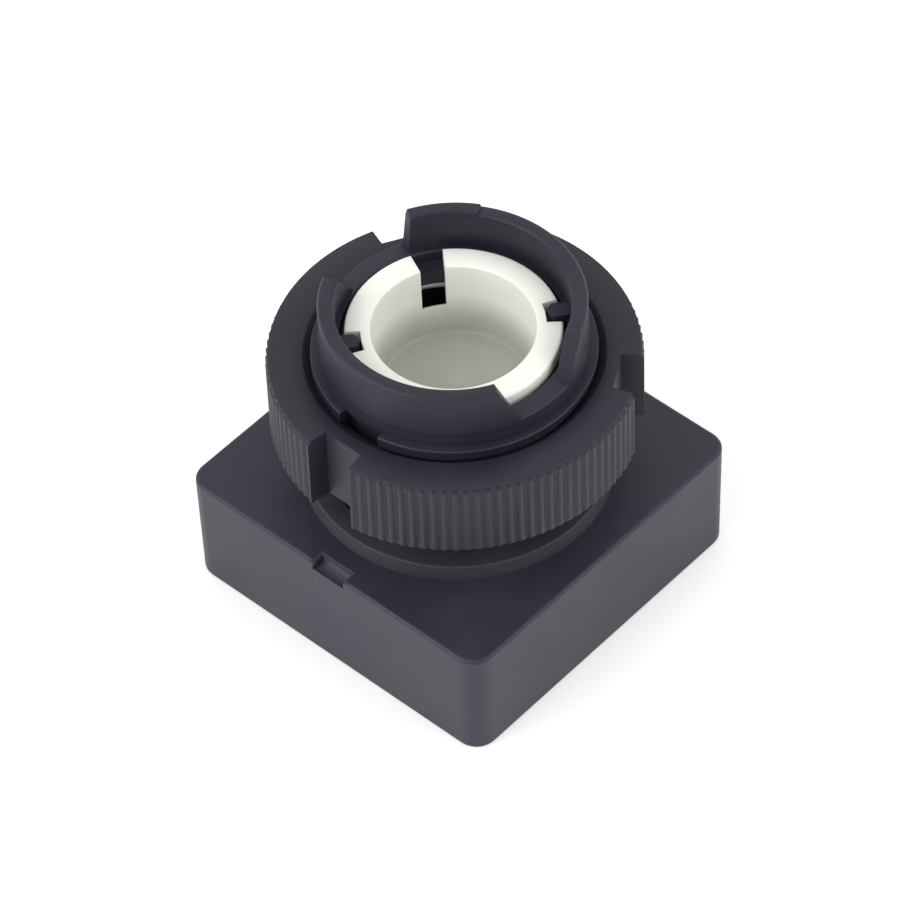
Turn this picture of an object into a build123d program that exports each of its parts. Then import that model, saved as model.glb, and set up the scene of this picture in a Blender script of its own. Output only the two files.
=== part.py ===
from build123d import *
import math
import os

# Head of a square illuminated push button for a 22 mm panel hole, lying on its front face.
# Millimetres. The origin is the middle of the front face, and +Z points to the rear of the panel.
# Angles are in degrees about Z, counted from +X towards +Y.

# Square front frame
frame_side = 30.0
frame_draft = 0.4
frame_wall = 2.5
frame_corner = 1.8
frame_edge = 0.3
opening_corner = 1.2
opening_edge = 0.4
plate_over_seal = 0.4
pry_width = 3.2
pry_depth = 1.15
pry_height = 1.0
pry_offset = 0.1

# Button: how far it moves, and its room in the frame
plunger_travel = 3.5
travel_end_gap = 0.3
button_gap = 0.3
button_recess = 0.5
button_corner = 0.9

# Lens with what lies behind it
lens_thickness = 1.2
lens_wall = 1.1
lens_edge = 0.35
insert_clearance = 0.15
legend_thickness = 0.4
diffuser_thickness = 0.5

# White plunger cup, open to the rear, with the tube in front of its floor
cup_mouth = 12.6
cup_taper = 0.4
cup_wall = 0.7
cup_depth = 6.7
cup_floor = 1.0
cup_slot_angle = 56.4
cup_slot_width = 1.95
cup_slot_depth = 3.9
tube_wall = 0.9
rim_seat = 1.05
rim_thickness = 1.2
rim_edge = 0.2
rim_lift = 0.35
catch_width = 2.8
catch_height = 1.6
catch_reach = 0.5
catch_past_seal = 0.2
catch_clearance = 0.1

# Carrier of the lens, with the tubular stem that takes the plunger
flange_thickness = 1.2
pad_height = 0.8
stem_wall = 1.17
stem_clearance = 0.03
stem_past_catch = 0.8

# Return spring
wire_diameter = 0.7
spring_clearance = 0.4
spring_turns = 3.8
spring_end_turns = 1.0
spring_start_angle = 146.0
spring_points_per_turn = 12

# Shaft seal and the washer that holds it
seal_width = 1.15
seal_depth = 1.1
seal_bead = 0.8
seal_lip = 0.4
seal_gap = 0.12
washer_overlap = 1.65
washer_thickness = 0.5
washer_clearance = 0.03

# Threaded neck and its keyway; the thread itself is left plain at its root
neck_clearance = 0.4
neck_wall = 1.5
thread_depth = 0.85
neck_end_land = 0.45
neck_chamfer = 0.25
keyway_width = 3.8
keyway_depth = 1.2
keyway_angle = 180.0

# Ledge inside the neck, where the return spring pushes
ledge_clearance = 0.25
ledge_thickness = 1.1
ledge_above_neck = 0.5

# Bayonet collar at the rear
rim_clearance = 0.7
ring_clearance = 0.35
collar_wall = 1.3
collar_height = 5.0
collar_draft = 0.08
collar_edge = 0.35
collar_gap_floor = 1.45
near_gap_angle = -94.0
near_gap_top = (-25.0, 26.0)
near_gap_foot = (-15.0, 12.0)
far_gap_angle = 86.0
far_gap_top = (-23.0, 31.0)
far_gap_foot = (-23.0, 12.0)
land_height = 0.25
land_start = 29.0
land_span = 34.5

# Guide ribs inside the collar, which keep the plunger from turning
rib_angles = (-38.0, 142.0)
rib_width = 1.5
rib_clearance = 0.25
rib_over_rim = 0.2
rib_root = 0.6

# Flat gasket between the frame and the panel
gasket_width = 1.95
gasket_thickness = 1.2
gasket_draft = 0.2
gasket_clearance = 0.15

# Knurled ring nut with three spanner notches
panel_space = 4.6
nut_wall = 4.22
nut_height = 6.8
nut_end_gap = 0.05
nut_clearance = 0.08
nut_teeth = 108
nut_tooth_depth = 0.28
nut_edge = 0.3
nut_mouth_gap = 0.55
notch_count = 3
notch_width = 4.6
notch_depth = 1.7
notch_angle = 181.2

# Diameters and widths that follow, from the cup outwards
cup_diameter = cup_mouth + 2 * cup_wall
cup_floor_bore = cup_mouth - 2 * cup_taper
tube_bore = cup_diameter - 2 * tube_wall
stem_bore = cup_diameter + 2 * stem_clearance
stem_diameter = stem_bore + 2 * stem_wall
spring_diameter = cup_diameter + 2 * spring_clearance + wire_diameter
neck_bore = stem_diameter + 2 * neck_clearance
thread_root = neck_bore + 2 * neck_wall
thread_major = thread_root + 2 * thread_depth
seal_diameter = neck_bore + 2 * seal_width
washer_diameter = seal_diameter + 2 * washer_overlap
ledge_bore = cup_diameter + 2 * ledge_clearance
rim_diameter = ledge_bore + 2 * rim_seat
collar_bore = rim_diameter + 2 * rim_clearance
ring_bore = rim_diameter + 2 * ring_clearance
collar_diameter = collar_bore + 2 * collar_wall
gasket_bore = thread_root + 2 * gasket_clearance
gasket_diameter = gasket_bore + 2 * gasket_width
nut_bore = thread_root + 2 * nut_clearance
nut_diameter = nut_bore + 2 * nut_wall
nut_mouth = thread_major + 2 * nut_mouth_gap
opening_side = frame_side - 2 * frame_wall
button_side = opening_side - 2 * button_gap
insert_side = button_side - 2 * lens_wall - 2 * insert_clearance

# Heights that follow, from the front face to the rear
legend_front = button_recess + lens_thickness
diffuser_front = legend_front + legend_thickness
pad_front = diffuser_front + diffuser_thickness
flange_front = pad_front + pad_height
flange_rear = flange_front + flange_thickness
opening_floor = flange_rear + plunger_travel + travel_end_gap
seal_floor = opening_floor + washer_thickness
seal_top = seal_floor + seal_depth
catch_bottom = seal_top + catch_past_seal
catch_top = catch_bottom + catch_height
stem_end = catch_top + stem_past_catch
frame_height = seal_top + plate_over_seal
gasket_top = frame_height + gasket_thickness
nut_bottom = gasket_top + panel_space
nut_top = nut_bottom + nut_height
neck_top = nut_top + nut_end_gap + neck_end_land
ledge_top = neck_top + ledge_above_neck
ledge_bottom = ledge_top - ledge_thickness
gap_floor = neck_top + collar_gap_floor
collar_top = neck_top + collar_height
rim_bottom = ledge_top + rim_lift
rim_top = rim_bottom + rim_thickness
cup_floor_top = rim_top - cup_depth


def cylinder(diameter, bottom, top):
    return Pos(0, 0, bottom) * Cylinder(diameter / 2, top - bottom, align=(Align.CENTER, Align.CENTER, Align.MIN))


def tube(outer, bore, bottom, top):
    return cylinder(outer, bottom, top) - cylinder(bore, bottom, top)


def revolved(points):
    """A solid of revolution about Z from (radius, height) points."""
    return revolve(Plane.XZ * make_face(Polyline(*points, close=True)), Axis.Z)


def square_block(side, corner, bottom, top):
    outline = Pos(0, 0, bottom) * RectangleRounded(side, side, corner)
    return extrude(outline, top - bottom, dir=(0, 0, 1))


def radial_block(angle, inner, outer, width, bottom, top):
    """A bar that points outwards at the given angle, with flat sides."""
    bar = Box(outer - inner, width, top - bottom, align=(Align.MIN, Align.CENTER, Align.MIN))
    return Rot(0, 0, angle) * Pos(inner, 0, bottom) * bar


def edges_at(shape, height):
    return shape.edges().filter_by(lambda e: all(abs(v.Z - height) < 1e-4 for v in e.vertices()))


def frame_block():
    """The square frame, a little smaller at its front face, with its recess for the button."""
    front = RectangleRounded(frame_side - frame_draft, frame_side - frame_draft, frame_corner)
    rear = Pos(0, 0, frame_height) * RectangleRounded(frame_side, frame_side, frame_corner)
    block = loft([front, rear], ruled=True)
    block = fillet(edges_at(block, 0), frame_edge)
    block = fillet(edges_at(block, frame_height), frame_edge)
    recess = square_block(opening_side, opening_corner, 0, opening_floor)
    mouth = loft(
        [
            RectangleRounded(opening_side + 2 * opening_edge, opening_side + 2 * opening_edge, opening_corner),
            Pos(0, 0, opening_edge) * RectangleRounded(opening_side, opening_side, opening_corner),
        ],
        ruled=True,
    )
    pry_slot = Pos(-frame_side / 2, pry_offset, frame_height) * Box(2 * pry_depth, pry_width, 2 * pry_height)
    return block - recess - mouth - pry_slot


def neck():
    """The neck at the root of its thread, with a ring at full thread size at its rear end.

    Inside the collar it carries on to the top of the ledge.
    """
    root = thread_root / 2
    crest = thread_major / 2
    land_bottom = neck_top - neck_end_land
    outline = [
        (0, opening_floor),
        (root, opening_floor),
        (root, land_bottom),
        (crest, land_bottom),
        (crest, neck_top - neck_chamfer),
        (crest - neck_chamfer, neck_top),
        (ring_bore / 2, neck_top),
        (ring_bore / 2, ledge_top),
        (0, ledge_top),
    ]
    keyway_bed = crest - keyway_depth
    keyway = radial_block(keyway_angle, keyway_bed, crest + keyway_depth, keyway_width, frame_height, neck_top)
    return revolved(outline) - keyway


def gap_cutter(angle, top, foot):
    """A bayonet entry seen from outside: a trapezium that is wider at the rear."""
    middle = (collar_diameter + collar_bore) / 4
    over = collar_top + land_height
    corners = [
        (middle * math.sin(math.radians(foot[0])), gap_floor),
        (middle * math.sin(math.radians(foot[1])), gap_floor),
        (middle * math.sin(math.radians(top[1])), over),
        (middle * math.sin(math.radians(top[0])), over),
    ]
    face = Plane.YZ * make_face(Polyline(*corners, close=True))
    return Rot(0, 0, angle) * extrude(face, collar_diameter, dir=(1, 0, 0))


def collar():
    """The open collar at the rear: a full ring, then a drafted wall with its land, rounded rim and two entries."""
    inside = collar_bore / 2
    outside = collar_diameter / 2
    wall = revolved([
        (ring_bore / 2, neck_top),
        (outside, neck_top),
        (outside, gap_floor),
        (outside - collar_draft, collar_top),
        (inside, collar_top),
        (inside, gap_floor),
        (ring_bore / 2, gap_floor),
    ])
    wall = fillet(edges_at(wall, collar_top), collar_edge)
    inner = inside + collar_edge
    outer = outside - collar_draft - collar_edge
    land_face = make_face(Polyline((inner, collar_top), (outer, collar_top), (outer, collar_top + land_height),
                                   (inner, collar_top + land_height), close=True))
    land = Rot(0, 0, land_start) * revolve(Plane.XZ * land_face, Axis.Z, land_span)
    wall = wall + land
    wall -= gap_cutter(near_gap_angle, near_gap_top, near_gap_foot)
    wall -= gap_cutter(far_gap_angle, far_gap_top, far_gap_foot)
    return wall


def housing():
    """Frame, neck and collar are one moulding."""
    body = frame_block() + neck() + collar()
    body -= cylinder(neck_bore, opening_floor, ledge_bottom)
    body -= cylinder(ledge_bore, ledge_bottom, ledge_top)
    body -= cylinder(seal_diameter, seal_floor, seal_top)
    body -= cylinder(washer_diameter, opening_floor, seal_floor)
    for angle in rib_angles:
        body += radial_block(angle, cup_diameter / 2 + rib_clearance, collar_bore / 2 + rib_root,
                             rib_width, ledge_top, rim_top + rib_over_rim)
    return body


def knurl_outline(crest, root, teeth):
    """A closed outline of straight vertical ridges round a circle."""
    points = []
    for i in range(teeth):
        for share, radius in ((0.0, root), (0.25, root), (0.5, crest), (0.75, crest)):
            turn = 2 * math.pi * (i + share) / teeth
            points.append((radius * math.cos(turn), radius * math.sin(turn)))
    return make_face(Polyline(*points, close=True))


def ring_nut():
    """Knurled ring nut; its bore runs on the thread root, and its rear mouth is flared."""
    crest = nut_diameter / 2
    root = crest - nut_tooth_depth
    bore = nut_bore / 2
    mouth = nut_mouth / 2
    ridges = extrude(Pos(0, 0, nut_bottom) * knurl_outline(crest, root, nut_teeth), nut_height, dir=(0, 0, 1))
    turned = revolved([
        (bore, nut_bottom),
        (crest - nut_edge, nut_bottom),
        (crest, nut_bottom + nut_edge),
        (crest, nut_top - nut_edge),
        (crest - nut_edge, nut_top),
        (mouth, nut_top),
        (bore, nut_top - (mouth - bore)),
    ])
    nut = ridges & turned
    for i in range(notch_count):
        angle = notch_angle + i * 360 / notch_count
        nut -= radial_block(angle, crest - notch_depth, crest + notch_depth, notch_width, nut_bottom, nut_top)
    return nut


def panel_gasket():
    outer = gasket_diameter / 2
    return revolved([
        (gasket_bore / 2, frame_height),
        (outer, frame_height),
        (outer - gasket_draft, gasket_top),
        (gasket_bore / 2, gasket_top),
    ])


def stem_seal():
    """Rubber ring with a thick outer bead and a thin lip that wipes the stem."""
    outer = seal_diameter / 2
    lip = stem_diameter / 2 + seal_gap
    lip_bottom = seal_floor + (seal_depth - seal_lip) / 2
    bead = outer - seal_bead
    return revolved([
        (bead, seal_floor),
        (outer, seal_floor),
        (outer, seal_top),
        (bead, seal_top),
        (bead, lip_bottom + seal_lip),
        (lip, lip_bottom + seal_lip),
        (lip, lip_bottom),
        (bead, lip_bottom),
    ])


def seal_washer():
    return tube(washer_diameter - 2 * washer_clearance, neck_bore, opening_floor, seal_floor)


def plunger_cup():
    """White cup with a flat rim, a side slot and a tube in front of its floor that snaps into the stem."""
    tube_radius = cup_diameter / 2
    cup = revolved([
        (tube_bore / 2, flange_rear),
        (tube_radius, flange_rear),
        (tube_radius, rim_bottom),
        (rim_diameter / 2, rim_bottom),
        (rim_diameter / 2, rim_top - rim_edge),
        (rim_diameter / 2 - rim_edge, rim_top),
        (cup_mouth / 2, rim_top),
        (cup_floor_bore / 2, cup_floor_top),
        (0, cup_floor_top),
        (0, cup_floor_top - cup_floor),
        (tube_bore / 2, cup_floor_top - cup_floor),
    ])
    cup -= radial_block(cup_slot_angle, cup_floor_bore / 4, rim_diameter, cup_slot_width,
                        rim_top - cup_slot_depth, rim_top)
    for angle in rib_angles:
        cup -= radial_block(angle, tube_radius, rim_diameter, rib_width + 2 * rib_clearance, rim_bottom, rim_top)
        cup += catch(angle)
    return cup


def catch(angle):
    """Wedge on the plunger's tube that snaps into a window of the stem."""
    root = cup_diameter / 2 - catch_reach
    tip = cup_diameter / 2 + catch_reach
    wedge = Polyline((root, catch_bottom), (tip - catch_reach, catch_bottom), (tip, catch_top), (root, catch_top),
                     close=True)
    face = Plane.XZ * make_face(wedge)
    return Rot(0, 0, angle) * Pos(0, catch_width / 2, 0) * extrude(face, catch_width, dir=(0, -1, 0))


def button_carrier():
    """Square flange and pad for the lens, with the stem behind it."""
    carrier = square_block(button_side, button_corner, flange_front, flange_rear)
    carrier += square_block(insert_side, button_corner, pad_front, flange_front)
    carrier += cylinder(stem_diameter, flange_rear, stem_end)
    carrier -= cylinder(tube_bore, pad_front, flange_rear)
    carrier -= cylinder(stem_bore, flange_rear, stem_end)
    for angle in rib_angles:
        carrier -= radial_block(angle, tube_bore / 2, stem_diameter, catch_width + 2 * catch_clearance,
                                catch_bottom - catch_clearance, catch_top + catch_clearance)
    return carrier


def lens_cap():
    """Translucent square cap, open to the rear."""
    cap = square_block(button_side, button_corner, button_recess, flange_front)
    cap = fillet(edges_at(cap, button_recess), lens_edge)
    return cap - square_block(button_side - 2 * lens_wall, button_corner, legend_front, flange_front)


def insert_plate(front, thickness):
    return square_block(insert_side, button_corner, front, front + thickness)


def return_spring():
    """Wire coil between the stem and the ledge, with a closed turn on the stem."""
    radius = spring_diameter / 2
    bottom = stem_end + wire_diameter / 2
    rise = ledge_bottom - stem_end - wire_diameter
    count = round(spring_turns * spring_points_per_turn)
    free_turns = spring_turns - spring_end_turns
    end_rise = spring_end_turns * wire_diameter
    points = []
    for i in range(count + 1):
        turn = spring_turns * i / count
        share = min(max((turn - spring_end_turns) / free_turns, 0.0), 1.0)
        height = min(turn, spring_end_turns) * wire_diameter + share * (rise - end_rise)
        angle = math.radians(spring_start_angle) + 2 * math.pi * turn
        points.append((radius * math.cos(angle), radius * math.sin(angle), bottom + height))
    path = Spline(*points)
    section = Plane(origin=path @ 0, z_dir=path % 0) * Circle(wire_diameter / 2)
    return sweep(section, path=path, is_frenet=True)


def main():
    parts = {
        "housing": housing(),
        "ring_nut": ring_nut(),
        "panel_gasket": panel_gasket(),
        "stem_seal": stem_seal(),
        "seal_washer": seal_washer(),
        "return_spring": return_spring(),
        "plunger_cup": plunger_cup(),
        "button_carrier": button_carrier(),
        "diffuser": insert_plate(diffuser_front, diffuser_thickness),
        "legend_plate": insert_plate(legend_front, legend_thickness),
        "lens_cap": lens_cap(),
    }
    os.makedirs("parts", exist_ok=True)
    for name, shape in parts.items():
        export_step(shape, f"parts/{name}.step")


main()
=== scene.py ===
import math

import bmesh
import bpy
from mathutils import Matrix, Vector


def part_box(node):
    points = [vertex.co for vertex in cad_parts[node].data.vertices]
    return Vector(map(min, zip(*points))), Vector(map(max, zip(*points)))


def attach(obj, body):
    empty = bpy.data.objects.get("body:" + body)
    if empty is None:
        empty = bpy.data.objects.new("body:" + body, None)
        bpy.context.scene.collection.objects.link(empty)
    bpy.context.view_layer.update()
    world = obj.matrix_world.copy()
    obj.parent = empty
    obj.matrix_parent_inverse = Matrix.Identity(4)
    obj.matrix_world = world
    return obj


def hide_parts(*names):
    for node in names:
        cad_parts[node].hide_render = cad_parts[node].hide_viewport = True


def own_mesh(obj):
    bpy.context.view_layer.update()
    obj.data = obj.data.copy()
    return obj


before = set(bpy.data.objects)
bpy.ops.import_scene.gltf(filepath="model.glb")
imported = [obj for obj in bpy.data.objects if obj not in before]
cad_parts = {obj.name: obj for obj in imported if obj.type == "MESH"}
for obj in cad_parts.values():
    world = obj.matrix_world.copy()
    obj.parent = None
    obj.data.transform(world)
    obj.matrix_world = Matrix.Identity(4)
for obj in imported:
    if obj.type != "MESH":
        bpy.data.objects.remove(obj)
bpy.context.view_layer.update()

# Lengths in this script are in millimetres until a piece is made
MM = 0.001


def low_z(node):
    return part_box(node)[0].z / MM


def high_z(node):
    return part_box(node)[1].z / MM


def half_width(node):
    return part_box(node)[1].x / MM


# Sizes of the square frame
FRAME_SIDE = 2 * half_width("housing")
FRAME_DRAFT = 0.2
FRAME_CORNER = 1.8
FRAME_EDGE = 0.32
FRAME_HEIGHT = low_z("panel_gasket")
OPENING_SIDE = 25.0
OPENING_CORNER = 1.2
OPENING_EDGE = 0.4
OPENING_FLOOR = low_z("seal_washer")
FLOOR_HOLE = half_width("stem_seal")
WASHER_SEAT = half_width("seal_washer") + 0.02
PRY_WIDTH = 3.2
PRY_DEPTH = 1.15
PRY_HEIGHT = 0.85
PRY_OFFSET = 0.1
PRY_EDGE = 0.12
# How far one piece of the moulding runs into the next
SINK = 0.1

# Sizes of the threaded neck
THREAD_ROOT = 10.1
THREAD_CREST = 10.95
THREAD_PITCH = 1.5
THREAD_FLANK = 0.33
THREAD_TIP = 0.14
THREAD_START = 13.0
NECK_BORE = 8.6
NECK_TOP = high_z("ring_nut") + 0.5
END_LAND = 0.45
THREAD_END = NECK_TOP - END_LAND
END_CHAMFER = 0.09
KEYWAY_BED = 9.75
KEYWAY_HALF = 1.9

# Sizes of the bayonet collar, with its angles in degrees
COLLAR_OUTER = 10.3
COLLAR_DRAFT = 0.08
COLLAR_INNER = 9.0
RING_INNER = 8.65
RING_EDGE = 0.15
COLLAR_TOP = NECK_TOP + 5.0
COLLAR_EDGE = 0.36
COLLAR_BEVEL = 0.14
RIB_BEVEL = 0.12
GAP_FLOOR = NECK_TOP + 1.45
LAND_TOP = high_z("housing")
LEDGE_TOP = NECK_TOP + 0.5
LEDGE_BOTTOM = high_z("return_spring")
LEDGE_BORE = 7.25
WALL_A = ((-82.0, -68.0), (64.3, 62.4))
WALL_B = ((98.0, 117.0), (251.0, 241.0))
LAND_SPAN = (29.0, 62.2)
# The land's foot in the wall, and the hair by which walls and land stand off the faces beside them
LAND_FOOT = 0.7
WALL_HAIR = 0.004
LAND_INNER_HAIR = 0.03
LAND_OUTER_HAIR = 0.02
RIB_ANGLES = (-38.0, 142.0)
RIB_HALF = 0.72
RIB_TIP = 7.27
RIB_TAPER = 0.35
RIB_ABOVE_CUP = 0.2

# Sizes of the knurled nut
NUT_CREST = 14.39
NUT_TOOTH = 0.22
# Above 1, the ridges have flat tops
NUT_TOOTH_SHAPE = 1.25
NUT_BORE = 10.18
NUT_BORE_EDGE = 0.5
NUT_RIM_EDGE = 0.15
KNURL_END = 0.44
NUT_MOUTH = 11.5
# The mouth's softened edge, as (outside the mouth, under the rear face)
NUT_MOUTH_EDGE = (0.12, 0.05)
NUT_TEETH = 108
NUT_BOTTOM = low_z("ring_nut")
NUT_TOP = high_z("ring_nut")
NOTCH_ANGLES = (180.0, 300.0, 60.0)
NOTCH_BED = 12.55
NOTCH_BED_SPAN = (-7.9, 7.9)
NOTCH_MOUTH_SPAN = (-8.15, 8.15)
# The groove and the lip at the nut's rear, as (depth under the rear face, depth under the crest)
NUT_LIP = ((0.24, 0.28), (0.15, 0.28), (0.11, 0.14), (0.04, 0.17), (0.0, 0.25))

# Sizes of the panel gasket
GASKET_CLEARANCE = 0.15
GASKET_DRAFT = 0.2
GASKET_EDGE = 0.18

# Sizes of the white plunger cup
CUP_OUTER = 7.0
CUP_MOUTH = 6.3
CUP_FLOOR_RADIUS = 5.9
CUP_DEPTH = 6.7
CUP_FLOOR = 1.0
CUP_FLOOR_EDGE = 0.45
# Where the bowl's wall turns in towards its floor, as (outside the floor's radius, above the floor)
CUP_TURN = (0.3, 1.4)
TUBE_INNER = 6.1
RIM_RADIUS = half_width("plunger_cup")
RIM_TOP = high_z("plunger_cup")
RIM_BOTTOM = RIM_TOP - 1.2
RIM_EDGE = 0.2
RIM_INNER_EDGE = 0.15
RIM_NOTCH_HALF = 8.1
SLOT_ANGLE = 56.35
SLOT_HALF = 8.9
SLOT_INNER_FOOT = RIM_TOP - 4.0
SLOT_OUTER_FOOT = RIM_TOP - 4.8

# Sizes of the lens cap
LENS_SIDE = 24.4
LENS_CORNER = 0.9
LENS_LEAST_CORNER = 0.3
LENS_WALL = 1.1
LENS_EDGE = 0.35
LENS_FRONT = low_z("lens_cap")
LENS_REAR = high_z("lens_cap")
LENS_INSIDE = low_z("legend_plate")

# Sizes of the return spring
WIRE = 0.7
SPRING_RADIUS = 7.75
SPRING_TURNS = 3.8
SPRING_START = 146.0
SPRING_BOTTOM = low_z("return_spring")
SPRING_TOP = high_z("return_spring")

# Every mesh: points this close are one, edges shorter than this are dropped, faces that meet at less than
# the first angle are shaded as one, and edges sharper than the second are rounded where that is wanted
MERGE_DISTANCE = 0.002
SHORTEST_EDGE = 0.001
SMOOTH_ANGLE = 32.0
ROUNDING_ANGLE = 50.0

# The white surroundings: the floor's glow for the camera and as mirrored, where the sky is brightest,
# and the sky's levels on its dim and its bright side
FLOOR_REACH = 1500.0
FLOOR_GLOW = (0.31, 0.45)
SKY_BRIGHT_SIDE = (0.9, 0.2, 0.45)
SKY_BRIGHT_MIRRORED = (0.65, 0.65, 0.5)
SKY_LEVELS = (0.38, 0.88)
SKY_MIRRORED = (0.36, 0.98)

# The two soft lamps, as (place, power), with their side and the point that they look at
LAMPS = {"left_lamp": ((-365.0, 144.0, 308.0), 1.62), "right_lamp": ((125.0, -373.0, 308.0), 0.92)}
LAMP_SIDE = 400.0
LAMP_AIM = (0.0, 0.0, 14.0)

# Camera, as the photograph was taken
CAMERA_AZIMUTH = -46.51
CAMERA_ELEVATION = 48.02
CAMERA_DISTANCE = 443.8
CAMERA_TARGET = (7.15, 7.69, 0.0)
CAMERA_ROLL = -2.44
CAMERA_LENS = 221.4


# Node helpers

def new_group(name, inputs, outputs):
    """An empty shader node group with named sockets: inputs as (name, value), outputs as (name, kind)."""
    group = bpy.data.node_groups.new(name, "ShaderNodeTree")
    for label, value in inputs:
        kind = "NodeSocketColor" if isinstance(value, tuple) else "NodeSocketFloat"
        socket = group.interface.new_socket(label, in_out="INPUT", socket_type=kind)
        socket.default_value = value
    for label, kind in outputs:
        group.interface.new_socket(label, in_out="OUTPUT", socket_type=kind)
    return group, group.nodes.new("NodeGroupInput"), group.nodes.new("NodeGroupOutput")


def add(tree, kind, **settings):
    node = tree.nodes.new(kind)
    for label, value in settings.items():
        setattr(node, label, value)
    return node


def feed(tree, socket, value):
    """Gives a socket a plain number or colour, or links another socket to it."""
    if isinstance(value, (int, float, tuple)):
        socket.default_value = value
    else:
        tree.links.new(value, socket)


def math_node(tree, operation, first, second, clamp=False):
    """A maths node whose two inputs are sockets or plain numbers."""
    node = add(tree, "ShaderNodeMath", operation=operation, use_clamp=clamp)
    feed(tree, node.inputs[0], first)
    feed(tree, node.inputs[1], second)
    return node.outputs[0]


def mix_colour(tree, share, first, second):
    node = add(tree, "ShaderNodeMix", data_type="RGBA")
    for index, value in ((0, share), (6, first), (7, second)):
        feed(tree, node.inputs[index], value)
    return node.outputs[2]


def mix_value(tree, share, first, second):
    node = add(tree, "ShaderNodeMix", data_type="FLOAT")
    for index, value in ((0, share), (2, first), (3, second)):
        feed(tree, node.inputs[index], value)
    return node.outputs[0]


def millimetre_coordinates(tree):
    """The piece's own coordinates, counted in millimetres."""
    place = add(tree, "ShaderNodeTexCoord")
    scale = add(tree, "ShaderNodeVectorMath", operation="SCALE")
    scale.inputs["Scale"].default_value = 1 / MM
    tree.links.new(place.outputs["Object"], scale.inputs[0])
    return scale.outputs[0]


def noise(tree, coordinates, scale, detail=2.0, roughness=0.5):
    node = add(tree, "ShaderNodeTexNoise")
    tree.links.new(coordinates, node.inputs["Vector"])
    feed(tree, node.inputs["Scale"], scale)
    node.inputs["Detail"].default_value = detail
    node.inputs["Roughness"].default_value = roughness
    return node.outputs["Fac"]


def spread(tree, value, low, high, to_low=0.0, to_high=1.0):
    node = add(tree, "ShaderNodeMapRange", clamp=True)
    tree.links.new(value, node.inputs["Value"])
    for label, number in (("From Min", low), ("From Max", high), ("To Min", to_low), ("To Max", to_high)):
        node.inputs[label].default_value = number
    return node.outputs["Result"]


# Effects that several materials share

def make_mould_grain():
    """Height of the fine spark-eroded grain that a moulding takes from its tool."""
    group, source, target = new_group(
        "Mould grain", [("Grain size", 0.16), ("Depth", 1.0)], [("Height", "NodeSocketFloat")])
    place = millimetre_coordinates(group)
    frequency = math_node(group, "DIVIDE", 1.0, source.outputs["Grain size"])
    fine = noise(group, place, frequency, detail=3.0, roughness=0.6)
    pit = add(group, "ShaderNodeTexVoronoi", feature="SMOOTH_F1")
    group.links.new(place, pit.inputs["Vector"])
    group.links.new(frequency, pit.inputs["Scale"])
    both = math_node(group, "ADD", fine, math_node(group, "MULTIPLY", pit.outputs["Distance"], 0.4))
    group.links.new(math_node(group, "MULTIPLY", both, source.outputs["Depth"]), target.inputs["Height"])
    return group


def make_edge_rub():
    """Mask of the outer edges, where handling has rubbed the surface paler."""
    group, source, target = new_group(
        "Edge rub", [("Amount", 0.5), ("Breakup", 0.8)], [("Mask", "NodeSocketFloat")])
    shape = add(group, "ShaderNodeNewGeometry")
    edge = spread(group, shape.outputs["Pointiness"], 0.53, 0.64)
    place = millimetre_coordinates(group)
    patches = noise(group, place, source.outputs["Breakup"], detail=4.0, roughness=0.65)
    torn = spread(group, patches, 0.35, 0.7)
    worn = math_node(group, "MULTIPLY", edge, torn)
    mask = math_node(group, "MULTIPLY", worn, source.outputs["Amount"], clamp=True)
    group.links.new(mask, target.inputs["Mask"])
    return group


def make_dust():
    """Mask of fine dust and lint: small pale specks, thicker on faces that look up."""
    group, source, target = new_group(
        "Dust", [("Amount", 0.3), ("Speck size", 0.5)], [("Mask", "NodeSocketFloat")])
    place = millimetre_coordinates(group)
    frequency = math_node(group, "DIVIDE", 1.0, source.outputs["Speck size"])
    fine = noise(group, place, frequency, detail=5.0, roughness=0.7)
    specks = spread(group, fine, 0.62, 0.74)
    shape = add(group, "ShaderNodeNewGeometry")
    normal = add(group, "ShaderNodeSeparateXYZ")
    group.links.new(shape.outputs["Normal"], normal.inputs[0])
    up = spread(group, normal.outputs["Z"], -0.2, 1.0, 0.35, 1.0)
    both = math_node(group, "MULTIPLY", specks, up)
    mask = math_node(group, "MULTIPLY", both, source.outputs["Amount"], clamp=True)
    group.links.new(mask, target.inputs["Mask"])
    return group


def make_cloud():
    """Slow change of tone over a moulding, from 0 to 1."""
    group, source, target = new_group("Cloud", [("Size", 6.0)], [("Value", "NodeSocketFloat")])
    place = millimetre_coordinates(group)
    frequency = math_node(group, "DIVIDE", 1.0, source.outputs["Size"])
    slow = noise(group, place, frequency, detail=3.0, roughness=0.55)
    group.links.new(spread(group, slow, 0.3, 0.7), target.inputs["Value"])
    return group


def make_painted_depth_shade():
    """Painted shade in the cup: from 0 deep inside the cup to 1 at its rim, by height on the piece."""
    group, source, target = new_group(
        "Painted depth shade", [("Low", 0.0), ("High", 1.0)], [("Value", "NodeSocketFloat")])
    place = millimetre_coordinates(group)
    parts = add(group, "ShaderNodeSeparateXYZ")
    group.links.new(place, parts.inputs[0])
    above = math_node(group, "SUBTRACT", parts.outputs["Z"], source.outputs["Low"])
    reach = math_node(group, "SUBTRACT", source.outputs["High"], source.outputs["Low"])
    group.links.new(math_node(group, "DIVIDE", above, reach, clamp=True), target.inputs["Value"])
    return group


MOULD_GRAIN = make_mould_grain()
EDGE_RUB = make_edge_rub()
DUST = make_dust()
CLOUD = make_cloud()
PAINTED_SHADE_BY_DEPTH = make_painted_depth_shade()


def place_group(tree, group, **values):
    """A shared effect placed in a material, with its own values; an underscore stands for a space."""
    node = add(tree, "ShaderNodeGroup", node_tree=group)
    for label, value in values.items():
        node.inputs[label.replace("_", " ")].default_value = value
    return node


def new_material(name):
    """A material with only its Principled shader and output."""
    material = bpy.data.materials.new(name)
    material.use_nodes = True
    tree = material.node_tree
    return material, tree, tree.nodes["Principled BSDF"]


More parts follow.
